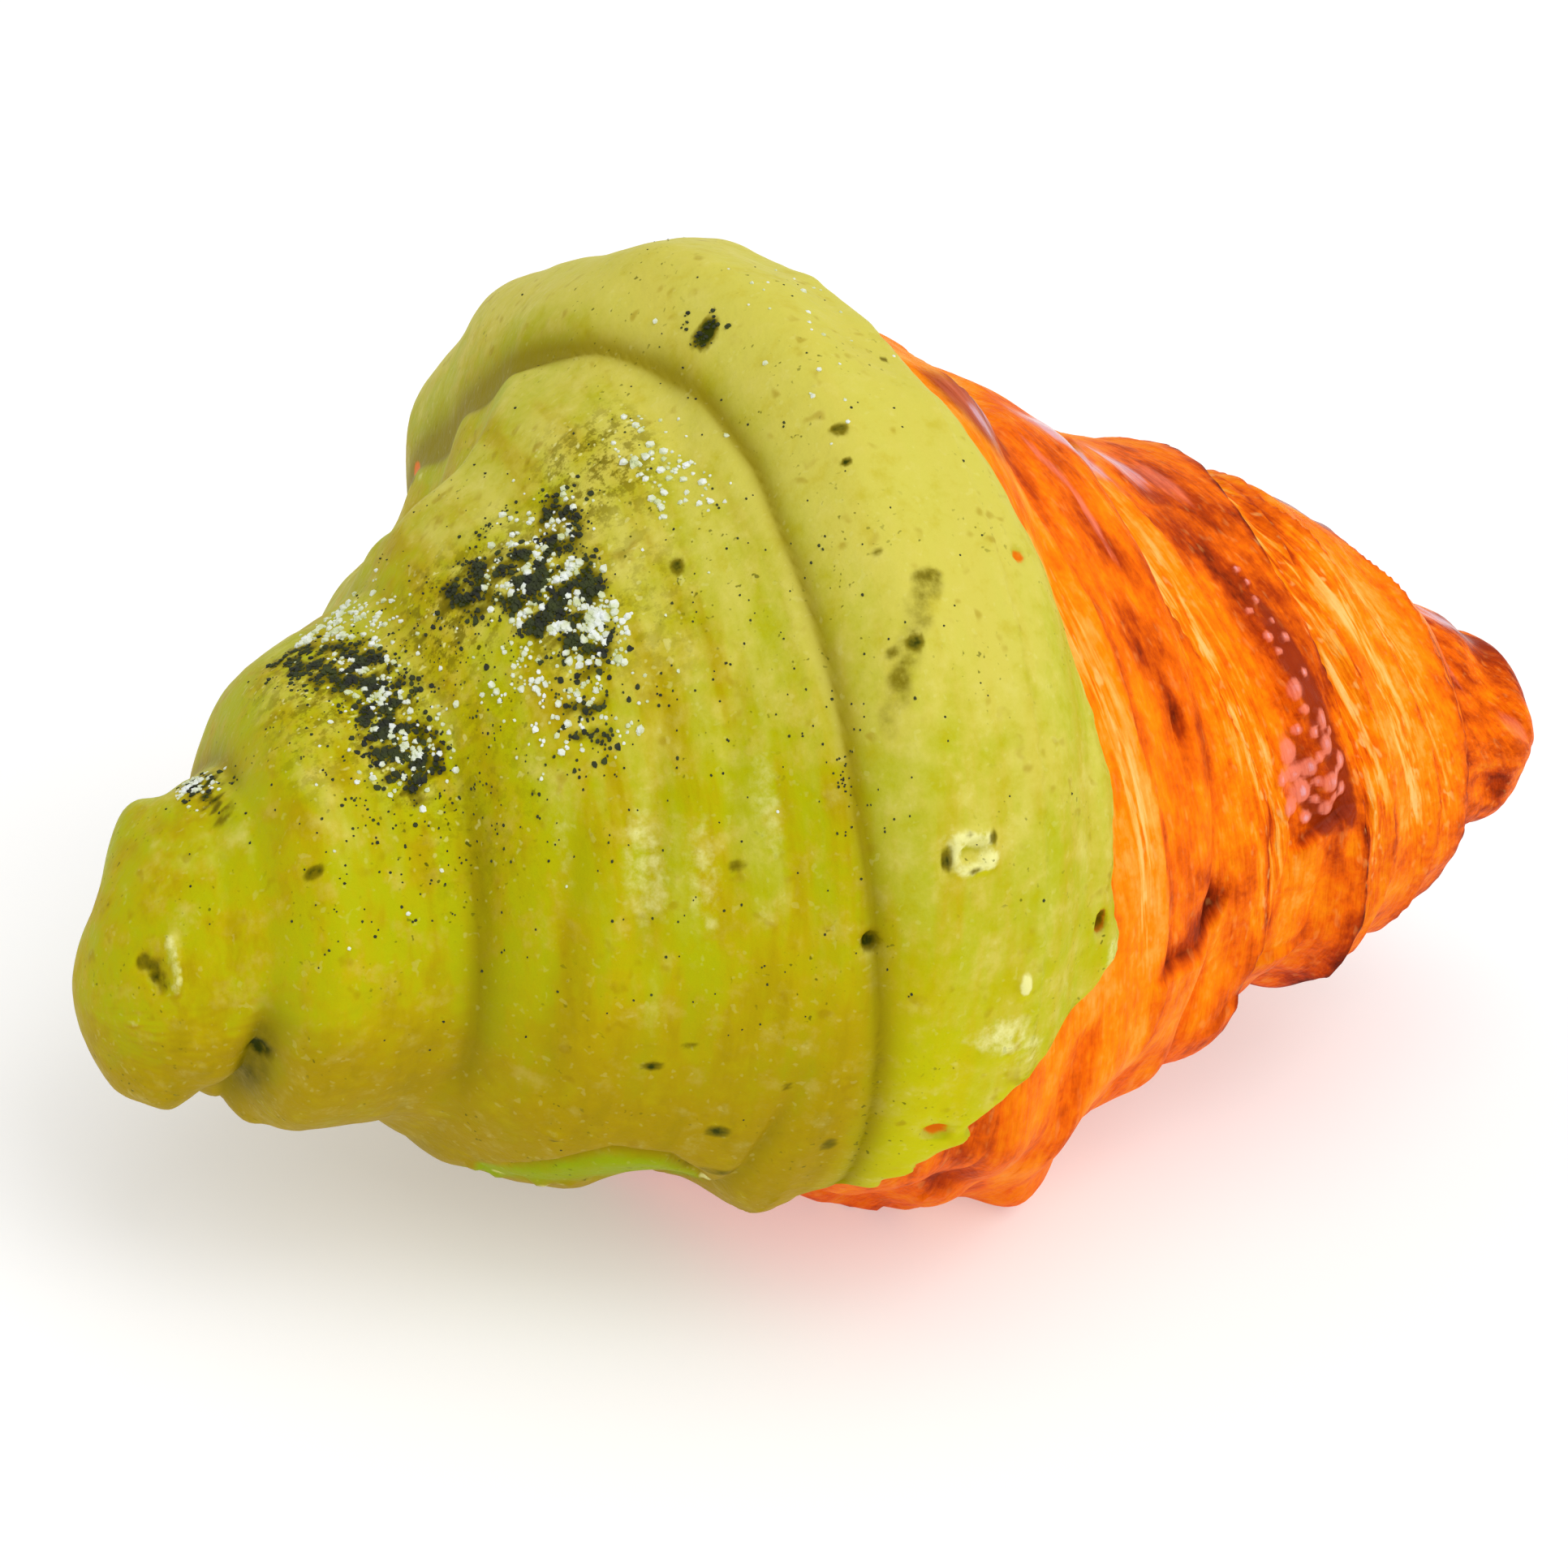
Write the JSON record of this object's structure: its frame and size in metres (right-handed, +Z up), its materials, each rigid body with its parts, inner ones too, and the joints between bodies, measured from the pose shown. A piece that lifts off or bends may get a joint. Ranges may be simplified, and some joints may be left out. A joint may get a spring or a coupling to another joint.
{
  "type": "iced croissant",
  "caption": "Plump rolled croissant with stepped bands of layered dough, its left half and middle wrap coated in smooth icing with a scatter of sugar grains.",
  "frame": {"origin": "middle of the croissant's box, on the surface that it rests on", "axes": "+X along the roll from the iced tip to the bare tip, +Z up, -Y towards the front"},
  "size_m": [0.1444, 0.0964, 0.0822],
  "materials": {
    "crust": null,
    "green_icing": null
  },
  "bodies": {
    "root": {"pastry": "crust", "icing": "green_icing"}
  },
  "joints": []
}
